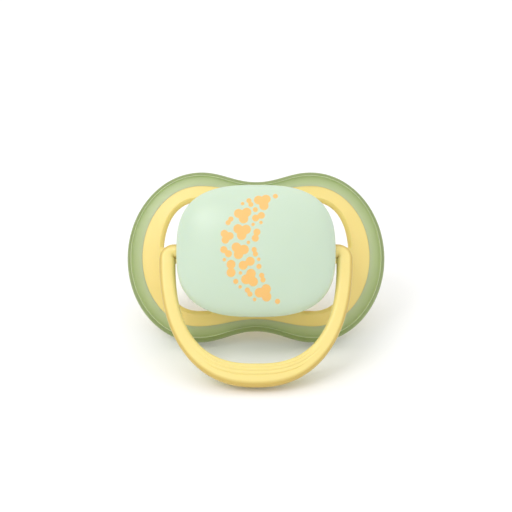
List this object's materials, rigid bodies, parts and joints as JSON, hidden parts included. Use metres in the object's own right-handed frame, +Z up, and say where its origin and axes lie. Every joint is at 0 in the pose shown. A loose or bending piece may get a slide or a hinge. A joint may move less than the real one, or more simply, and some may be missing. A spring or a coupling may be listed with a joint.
{
  "type": "pacifier",
  "caption": "Baby's pacifier: dished shield with a soft rim and air vents, hollow front cover, silicone teat on a plug, and a ring handle that swings on two pins.",
  "frame": {"origin": "centre of the bottom of the bounding box, on the surface that the pacifier rests on", "axes": "+X along the shield's length, +Y from the ring and cover side to the teat side, +Z up; the pacifier leans back on its shield's lower lobes and its teat"},
  "size_m": [0.06, 0.053, 0.0371],
  "materials": {
    "yellow_plastic": "moulded polypropylene, satin",
    "green_elastomer": "soft translucent elastomer, satin",
    "mint_plastic": "moulded polypropylene, satin, with a printed crescent of spots",
    "pale_yellow_plastic": "moulded polypropylene, satin",
    "silicone": "frosted silicone bulb on a clear neck",
    "plug_plastic": "moulded polypropylene, satin"
  },
  "bodies": {
    "pacifier_body": {"shield_plate": "yellow_plastic", "shield_rim": "green_elastomer", "cover": "mint_plastic", "teat": "silicone", "teat_plug": "plug_plastic"},
    "ring": {"ring_handle": "pale_yellow_plastic"}
  },
  "joints": [
    {"name": "ring_swing", "type": "hinge", "parent": "pacifier_body", "child": "ring", "pos_m": [0, -0.00531, 0.02307], "axis": [-1, 0, 0], "range_deg": [-25, 187]}
  ]
}
